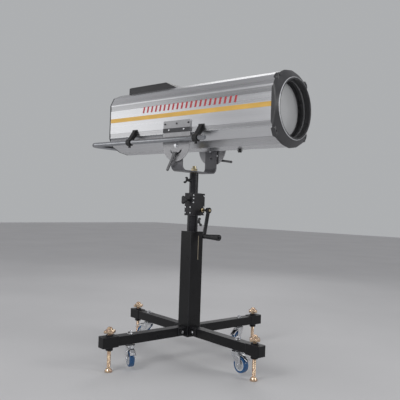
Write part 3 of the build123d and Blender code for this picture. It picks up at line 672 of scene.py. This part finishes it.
def wing_screw(name, node, place, span, stud):
    """A wing screw: its round hub and stud, then its two cupped wings."""
    hub = lathe(soft_profile([(0, 0), (0.0068, 0), (0.007, 0.008), (0.0056, 0.0135), (0, 0.0138)],
                             0.0012, 3), 32)
    blades = []
    for side in (-1, 1):
        x = side * span / 2
        blade = rounded([(side * 0.003, 0.003), (x * 0.62, 0.0055), (x * 1.25, 0.0085),
                         (x * 1.42, 0.0165), (x * 1.22, 0.0238), (x * 0.8, 0.0242),
                         (side * 0.0045, 0.012)], 0.0045)
        blades.append(on_edge(blade, -WING_HALF, WING_HALF))
    shank = pin(STUD_R, -stud, 0.0005, 0.0005, 24)
    piece(name + "_hub", *joined(hub, shank), "black_plastic", node, place, (node,))
    piece(name + "_wings", *joined(*blades), "black_plastic", node, place, round_edges=0.0011)


wing_screw("upper_wing", "upper_wing_screw",
           stand @ at(0, -0.038, 0.908) @ turn(pi / 2, "X") @ turn(pi / 3), 0.026, 0.026)
wing_screw("post_wing", "post_wing_knob",
           stand @ at(0, 0.036, 0.694) @ turn(-pi / 2, "X") @ turn(radians(70)), 0.034, 0.0115)

STAR_RIM = 0.0238
star = lathe(soft_profile([(0, 0.0005), (0.010, 0.0005), (0.0115, 0.003), (0.022, 0.0035),
                           (STAR_RIM, 0.008), (0.0222, 0.0135), (0.011, 0.0152), (0, 0.0152)],
                          0.002, 4), 96, lobes(3, 0.34, 1.0, STAR_RIM))
stem = lathe(soft_profile([(0, -0.028), (STUD_R, -0.028), (STUD_R, -0.0085), (0.0078, -0.008),
                           (0.0078, 0.001), (0, 0.001)], 0.0006), 28)
piece("housing_star", *joined(star, stem), "black_plastic", "housing_knob",
      stand @ at(0, -0.052, 0.806) @ turn(pi / 2, "X"), ("housing_knob",))


# ---- lamp head -------------------------------------------------------------------------
SHELL_QUARTER = [(HALF_W, 0.0), (HALF_W, 0.092), (0.119, 0.136), (0.060, 0.163), (0.0, HALF_H)]
EAR_SCREWS = [(c * y, z) for y, z in ((0.117, 0.131), (0.127, -0.115)) for c in (-1, 1)]
EARS = [atan2(z, y) for y, z in EAR_SCREWS]
RING_CUTS = 360


def shell_radius(angle):
    """How far the shell's outline is from the axis, at an angle from +Y towards +Z."""
    y, z = abs(cos(angle)), abs(sin(angle))
    best = 1.0
    for (y0, z0), (y1, z1) in zip(SHELL_QUARTER, SHELL_QUARTER[1:]):
        dy, dz = y1 - y0, z1 - z0
        det = y * -dz - z * -dy
        if abs(det) < 1e-12:
            continue
        r = (y0 * -dz - z0 * -dy) / det
        t = ((r * y - y0) * dy + (r * z - z0) * dz) / (dy * dy + dz * dz)
        if -1e-9 <= t <= 1 + 1e-9 and r > 0:
            best = min(best, r)
    return best


def smooth(t):
    """An S curve from 0 to 1."""
    return t * t * (3 - 2 * t)


def ear_share(angle):
    """1 at a corner ear of the front ring, falling smoothly to 0 beside it."""
    nearest = min(abs((angle - e + pi) % (2 * pi) - pi) for e in EARS)
    return smooth(max(0.0, min(1.0, (0.135 - nearest) / 0.045)))


def ring_column(a):
    """The bezel's section at an angle: (x, radius) points round it, from the skirt to the lip."""
    ear = ear_share(a)
    shell = shell_radius(a)
    near = (shell_radius(a - 0.03) + shell_radius(a + 0.03) + shell) / 3
    wide = sum(shell_radius(a + 0.05 * k) for k in range(-4, 5)) / 9
    flank = smooth(max(0.0, min(1.0, (0.62 - abs(sin(a)) * 1.15) / 0.1)))
    skirt_x = SHELL_FRONT + 0.002 - 0.009 * ear - 0.008 * flank
    outer = near + 0.0042 + 0.0012 * ear
    column = [(skirt_x + 0.0008, shell + 0.0006), (skirt_x, outer - 0.0012),
              (skirt_x + 0.0012, outer)]
    shoulder_x = SHELL_FRONT + 0.0055
    lip = LIP_R + 0.003
    for t in (0.0, 0.1, 0.2, 0.3, 0.335, 0.36, 0.375, 0.385, 0.4, 0.5, 0.6, 0.7, 0.8, 0.9, 1.0):
        x = shoulder_x + (LIP_X - 0.0025 - shoulder_x) * t
        ease = smooth(t) * 0.45 + t * 0.55
        crown = outer + (wide + 0.0062 - outer) * min(1.0, t * 3) * 0.8
        cone = lip + max(0.0, crown - lip) * (1 - ease) ** 0.86
        boss = outer if t < 0.34 else outer - 0.0012 if t < 0.37 else cone
        column.append((x, cone + (boss - cone) * ear))
    return column + [(LIP_X - 0.0009, lip - 0.0004), (LIP_X, lip - 0.0018),
                     (LIP_X, LIP_R - 0.0012), (LIP_X - 0.0012, LIP_R - 0.003),
                     (SHELL_FRONT + 0.005, LIP_R - 0.003),
                     (SHELL_FRONT + 0.0035, shell + 0.0006)]


def front_ring():
    """The moulded bezel: a wavy skirt with corner ears, tapering to the round lip."""
    angles = [2 * pi * i / RING_CUTS for i in range(RING_CUTS)]
    columns = [ring_column(a) for a in angles]
    rows = len(columns[0])
    vertices = [(x, r * cos(a), r * sin(a)) for a, column in zip(angles, columns)
                for x, r in column]
    faces = []
    for i in range(RING_CUTS):
        j = (i + 1) % RING_CUTS
        for k in range(rows):
            m = (k + 1) % rows
            faces.append((i * rows + k, j * rows + k, j * rows + m, i * rows + m))
    return fixed_normals(vertices, faces)


# A light grey bead round the lip: its light colour is a painted highlight standing in for the lip's
# light edge.
BEAD_R = 0.0028
piece("front_bezel", *front_ring(), "ring_plastic", "head", head, ("front_ring",), sharp=38)
bead = [(LIP_R + 0.0012 + BEAD_R * cos(a), LIP_X - 0.0029 + BEAD_R * sin(a))
        for a in (2 * pi * k / 16 for k in range(16))]
piece("lip_highlight_bead", *lathe(bead, 144), "lip_light", "head", head @ ALONG_X)


BRACKET_FACE = 0.148     # a side bracket's outer face
STRIP_T = 0.0009
for side, label in ((-1, "right"), (1, "left")):
    strip = prism(rounded([(-0.091, -0.088), (0.091, -0.088), (0.091, -0.066), (-0.091, -0.066)],
                          0.002), 0.0, STRIP_T)
    place = side_plane(side, BRACKET_FACE)
    piece("bracket_strip_" + label, *fixed_normals(*moved(strip, place)), "strip_dark", "head",
          round_edges=0.0003)
    screws = [moved(lathe(soft_profile([(0, 0), (0.0052, 0), (0.0046, 0.0022), (0.0022, 0.003),
                                        (0, 0.003)], 0.0008), 24), at(x, -0.0755, STRIP_T))
              for x in (-0.05, 0.05)]
    piece("strip_screws_" + label, *fixed_normals(*moved(joined(*screws), place)), "zinc", "head")


CAP_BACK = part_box("rear_cap")[0][0]
cap_screws = [moved(lathe(soft_profile([(0, 0), (0.0042, 0), (0.0038, 0.0018), (0.0016, 0.0026),
                                        (0, 0.0026)], 0.0007), 24),
                    Matrix(((0, 0, -1, 0), (1, 0, 0, y), (0, -1, 0, z), (0, 0, 0, 1))))
              for y, z in ((0.128, 0.052), (-0.128, 0.052), (0.128, -0.052), (-0.128, -0.052),
                           (0.052, 0.151), (-0.052, 0.151), (0.052, -0.151), (-0.052, -0.151))]
piece("rear_cap_screws", *moved(joined(*cap_screws), at(CAP_BACK - 0.0001, 0, HEAD_Z)), "zinc",
      "head")


RETAINER_IN, RETAINER_OUT = LIP_R - 0.0102, LIP_R - 0.0076
retainer = lathe(soft_profile([(RETAINER_IN, 0.556), (RETAINER_OUT, 0.556),
                               (RETAINER_OUT, 0.5625), (LIP_R - 0.0088, 0.5632),
                               (RETAINER_IN, 0.5618)], 0.0006, 3), 144)
piece("lens_retainer", *retainer, "retainer_grey", "head", head @ ALONG_X, slot="barrel_black")


# ---- vinyl films: the stripe and, in place of lettering, a row of plain bars ---------------
FILM_T = 0.00025
FILM_GAP = 0.00002
BARS = 21
BARS_FIRST, BARS_LAST = -0.251, 0.362
BAR_WIDE, BAR_LEAN = 0.012, 0.007
BAR_LOW, BAR_HIGH = 0.028, 0.060


def film(name, outline, side, material):
    """A vinyl film on the shell's side, cut to an outline in X and Z."""
    sheet = moved(prism(outline, 0.0, FILM_T), side_plane(side, HALF_W + FILM_GAP))
    return piece(name, *fixed_normals(*sheet), material, "head", round_edges=0.0001)


for side, label in ((-1, "right"), (1, "left")):
    stripe = rounded([(SHELL_BACK + 0.001, -0.007), (SHELL_FRONT - 0.002, -0.007),
                      (SHELL_FRONT - 0.002, 0.015), (SHELL_BACK + 0.001, 0.015)], 0.0008)
    film("stripe_" + label, stripe, side, "stripe_yellow")
    for i in range(BARS):
        x = BARS_FIRST + (BARS_LAST - BARS_FIRST) * i / (BARS - 1) * 0.975
        bar = rounded([(x, BAR_LOW), (x + BAR_WIDE, BAR_LOW), (x + BAR_WIDE + BAR_LEAN, BAR_HIGH),
                       (x + BAR_LEAN, BAR_HIGH)], 0.001)
        film("accent_%s_%02d" % (label, i), bar, side, "accent_red")


# ---- stage, light and camera -----------------------------------------------------------
WORLD_STOPS = ((0.0, 0.34), (0.1, 0.3), (0.24, 0.5), (0.4, 0.16), (0.56, 0.62), (0.75, 0.2),
               (1.0, 0.7))
SOFT_BOXES = (          # name, place, aim, diameter, watts
    ("key", (0.2, -3.4, 2.5), (0, 0, 1.0), 1.8, 42),
    ("rear_box", (-3.6, -2.6, 1.5), (-0.4, 0, 1.2), 2.4, 12),
    ("front_box", (3.4, 0.9, 1.9), (0.5, 0, 1.1), 1.4, 30),
    ("back", (-1.6, 2.8, 2.4), (0, 0, 1.0), 2.0, 16))


def make_floor():
    """A plain pale floor just under the feet."""
    bpy.ops.mesh.primitive_plane_add(size=30, location=(0, 0, -0.0005))
    floor = bpy.context.object
    floor.name = "floor"
    f = Finish("floor", 0.75)
    tone = f.mix(f.remap(f.noise(1.2, 2), 0.3, 0.7), (0.60, 0.60, 0.605), (0.64, 0.64, 0.645))
    floor.data.materials.append(f.done(tone))


def make_world():
    """Banded grey sky for the metal to reflect; the camera itself sees one plain grey."""
    world = bpy.data.worlds.new("studio")
    world.use_nodes = True
    tree = world.node_tree
    place = tree.nodes.new("ShaderNodeTexCoord")
    height = tree.nodes.new("ShaderNodeSeparateXYZ")
    ramp = tree.nodes.new("ShaderNodeValToRGB")
    seen = tree.nodes.new("ShaderNodeLightPath")
    mix = tree.nodes.new("ShaderNodeMix")
    mix.data_type = "RGBA"
    tree.links.new(place.outputs["Generated"], height.inputs[0])
    tree.links.new(height.outputs["Z"], ramp.inputs["Fac"])
    while len(ramp.color_ramp.elements) < len(WORLD_STOPS):
        ramp.color_ramp.elements.new(0.5)
    for stop, (where, grey) in zip(ramp.color_ramp.elements, WORLD_STOPS):
        stop.position, stop.color = where, (grey, grey, grey * 1.03, 1)
    mix.inputs[COLOUR_B].default_value = (0.42, 0.43, 0.44, 1)
    tree.links.new(seen.outputs["Is Camera Ray"], mix.inputs["Factor"])
    tree.links.new(ramp.outputs["Color"], mix.inputs[COLOUR_A])
    tree.links.new(mix.outputs[COLOUR_OUT], tree.nodes["Background"].inputs["Color"])
    tree.nodes["Background"].inputs["Strength"].default_value = 1.0
    bpy.context.scene.world = world


def make_lights():
    """Round soft boxes, each turned to its aim."""
    for name, spot, aim, size, power in SOFT_BOXES:
        lamp = bpy.data.lights.new(name, "AREA")
        lamp.shape, lamp.size, lamp.energy = "DISK", size, power
        o = bpy.data.objects.new(name, lamp)
        bpy.context.scene.collection.objects.link(o)
        o.location = spot
        o.rotation_euler = (Vector(aim) - Vector(spot)).to_track_quat("-Z", "Y").to_euler()


def make_camera():
    """The photograph's view; azimuth, pitch and roll come from fitting a camera to it."""
    azimuth, pitch, roll = radians(39.89), radians(-0.66), radians(1.94)
    level = Vector((-sin(azimuth), cos(azimuth), 0))
    right = Vector((cos(azimuth), sin(azimuth), 0))
    up = Vector((0, 0, 1))
    ahead = level * cos(pitch) - up * sin(pitch)
    above = up * cos(pitch) + level * sin(pitch)
    x_axis = right * cos(roll) + above * sin(roll)
    y_axis = above * cos(roll) - right * sin(roll)
    data = bpy.data.cameras.new("camera")
    data.sensor_width, data.lens = 36, 48.53
    o = bpy.data.objects.new("camera", data)
    bpy.context.scene.collection.objects.link(o)
    turned = Matrix((x_axis, y_axis, -ahead)).transposed().to_4x4()
    o.matrix_world = Matrix.Translation((1.82064, -2.12352, 0.77628)) @ turned
    bpy.context.scene.camera = o


make_floor()
make_world()
make_lights()
make_camera()
bpy.context.scene.view_settings.view_transform = "Standard"
